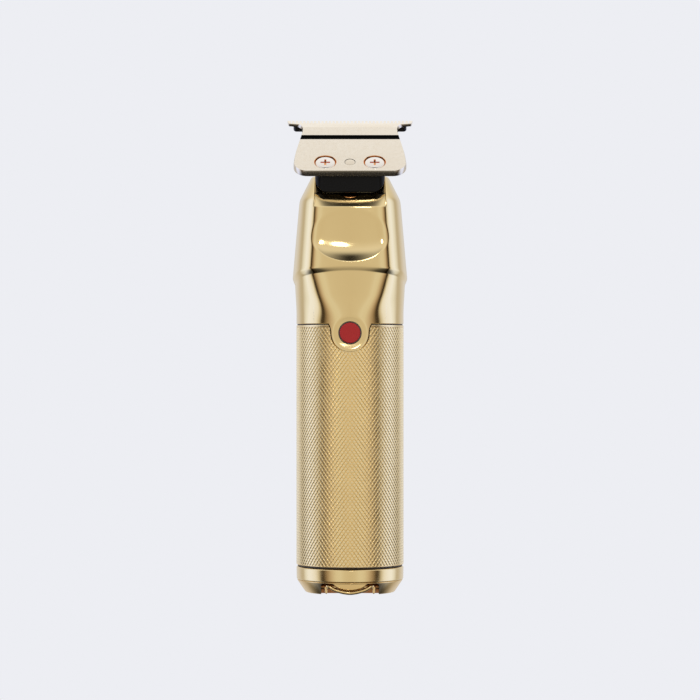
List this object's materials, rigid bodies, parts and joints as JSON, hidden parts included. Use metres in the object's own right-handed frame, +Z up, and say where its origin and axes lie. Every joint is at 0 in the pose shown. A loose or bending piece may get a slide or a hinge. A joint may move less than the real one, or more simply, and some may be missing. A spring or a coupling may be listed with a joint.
{
  "type": "cordless hair trimmer",
  "caption": "Pencil-shaped cordless trimmer: knurled barrel, chamfered cast head with a push button and a leaning wide T-blade, and a fold-out loop in its flat foot.",
  "frame": {"origin": "centre of the bounding box's underside, on the flat bottom of the foot and on the barrel's axis", "axes": "+Z up along the barrel to the blade, -Y out of the front with the button, +X to the right of a viewer facing the front"},
  "size_m": [0.04, 0.034, 0.1502],
  "materials": {
    "head_gold": "satin gold plate on a zinc casting",
    "barrel_gold": "gold anodised, diamond knurl",
    "ring_gold": "polished gold plate",
    "foot_gold": "turned, deep gold",
    "blade_gold": "pale gold plate on ground steel",
    "cutter_black": "black coating",
    "screw_copper": "copper gold plate",
    "steel": "satin",
    "dark_chrome": "smoked chrome",
    "bronze": "sintered bronze",
    "bracket_black": "moulded, semi-gloss",
    "black_plastic": "moulded",
    "button_red": "satin red",
    "seal_rubber": "matt",
    "cell": "shrink wrap over a steel can",
    "board": "solder mask",
    "wire_red": "silicone insulation",
    "wire_black": "silicone insulation"
  },
  "bodies": {
    "body": {"end_cap": "foot_gold", "loop_pin": "foot_gold", "end_ring": "ring_gold", "end_seal": "seal_rubber", "charging_socket": "black_plastic", "end_cap_screw_left": "steel", "end_cap_screw_right": "steel", "inner_chassis": "black_plastic", "battery_cell": "cell", "battery_contact_bottom": "steel", "battery_contact_top": "steel", "circuit_board": "board", "tact_switch": "black_plastic", "charge_chip": "black_plastic", "capacitor": "steel", "lead_red": "wire_red", "lead_black": "wire_black", "knurled_sleeve": "barrel_gold", "neck_seal": "seal_rubber", "head_housing": "head_gold", "button_bezel": "dark_chrome", "head_bracket": "bracket_black", "neck_screw": "screw_copper", "motor_can": "steel", "motor_end_bell": "black_plastic", "motor_mount": "black_plastic", "nose_bearing": "bronze", "tension_spring": "steel", "fixed_blade": "blade_gold", "locating_pin": "blade_gold", "blade_screw_left": "screw_copper", "blade_screw_right": "screw_copper", "bracket_screw_left": "steel", "bracket_screw_right": "steel"},
    "rotor": {"motor_shaft": "steel", "eccentric_cam": "steel", "drive_bush": "bronze"},
    "cutter": {"moving_cutter": "cutter_black", "cutter_yoke": "black_plastic"},
    "button": {"power_button": "button_red"},
    "loop": {"hang_loop": "foot_gold"}
  },
  "joints": [
    {"name": "motor_spin", "type": "hinge", "parent": "body", "child": "rotor", "pos_m": [0, 0.002, 0.13], "axis": [0, 0, 1], "continuous": true},
    {"name": "cutter_slide", "type": "slide", "parent": "body", "child": "cutter", "axis": [1, 0, 0], "range_m": [-0.0012, 0.0012]},
    {"name": "button_press", "type": "slide", "parent": "body", "child": "button", "axis": [0, 1, 0], "range_m": [0, 0.0006], "stiffness_N_per_m": 1200, "springref_m": -0.0004},
    {"name": "loop_fold", "type": "hinge", "parent": "body", "child": "loop", "pos_m": [0, -0.007, 0.0022], "axis": [1, 0, 0], "range_deg": [0, 100]}
  ]
}
